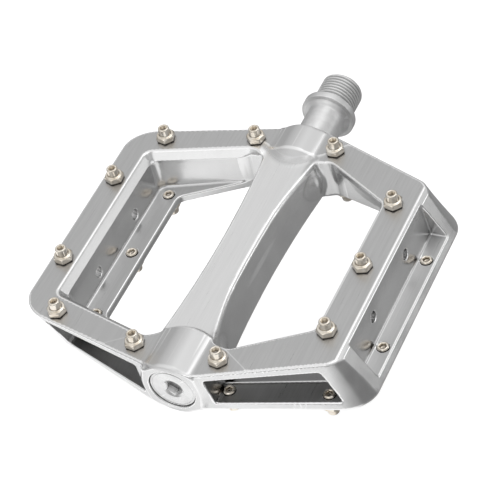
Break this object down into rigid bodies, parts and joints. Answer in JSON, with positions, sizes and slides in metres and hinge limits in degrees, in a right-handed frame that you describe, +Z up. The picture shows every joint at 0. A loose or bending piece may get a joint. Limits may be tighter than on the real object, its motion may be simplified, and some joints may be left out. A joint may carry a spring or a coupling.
{
  "type": "flat bicycle pedal",
  "caption": "Caged alloy platform pedal, left-hand, turning on a threaded steel spindle; railed wings carry screwed traction pins on both faces.",
  "frame": {"origin": "centre of the spindle's shoulder face, where it seats on the crank arm", "axes": "+X along the spindle into the crank, +Y towards the rail whose upper edge is the outermost (the front rail as drawn), +Z up; the platform lies at negative X"},
  "size_m": [0.137, 0.116, 0.0258],
  "materials": {
    "platform_alloy": "brushed upper and lower faces, polished webs and edges",
    "spindle_steel": "satin turned steel",
    "seal_rubber": "matt black",
    "bush_bronze": "plain sliding surface",
    "race_steel": "ground",
    "ball_steel": "polished",
    "cage_brass": "pressed sheet",
    "shield_rubber": "matt black",
    "fastener_steel": "zinc plated",
    "cap_alloy": "bright turned",
    "ring_rubber": "matt black",
    "pin_nickel": "nickel plated, slightly warm"
  },
  "bodies": {
    "spindle_assembly": {"spindle": "spindle_steel", "inner_bearing_inner_race": "race_steel", "outer_bearing_inner_race": "race_steel", "race_spacer": "fastener_steel", "spindle_washer": "fastener_steel", "lock_nut": "fastener_steel"},
    "platform": {"platform_body": "platform_alloy", "inboard_seal": "seal_rubber", "inboard_bush": "bush_bronze", "inner_bearing_outer_race": "race_steel", "inner_bearing_shields": "shield_rubber", "outer_bearing_outer_race": "race_steel", "outer_bearing_shields": "shield_rubber", "end_cap": "cap_alloy", "cap_o_ring": "ring_rubber", "pins_top_front": "pin_nickel", "pins_top_rear": "pin_nickel", "pins_bottom_front": "pin_nickel", "pins_bottom_rear": "pin_nickel"},
    "inner_ball_set": {"inner_bearing_balls": "ball_steel", "inner_bearing_cage": "cage_brass"},
    "outer_ball_set": {"outer_bearing_balls": "ball_steel", "outer_bearing_cage": "cage_brass"}
  },
  "joints": [
    {"name": "platform_spin", "type": "hinge", "parent": "spindle_assembly", "child": "platform", "pos_m": [-0.071, 0, 0], "axis": [1, 0, 0], "continuous": true},
    {"name": "inner_balls_orbit", "type": "hinge", "parent": "spindle_assembly", "child": "inner_ball_set", "pos_m": [-0.1086, 0, 0], "axis": [1, 0, 0], "continuous": true},
    {"name": "outer_balls_orbit", "type": "hinge", "parent": "spindle_assembly", "child": "outer_ball_set", "pos_m": [-0.1141, 0, 0], "axis": [1, 0, 0], "continuous": true}
  ],
  "couplings": [
    {"joint": "inner_balls_orbit", "follows": "platform_spin", "ratio": 0.60526},
    {"joint": "outer_balls_orbit", "follows": "platform_spin", "ratio": 0.60526}
  ]
}
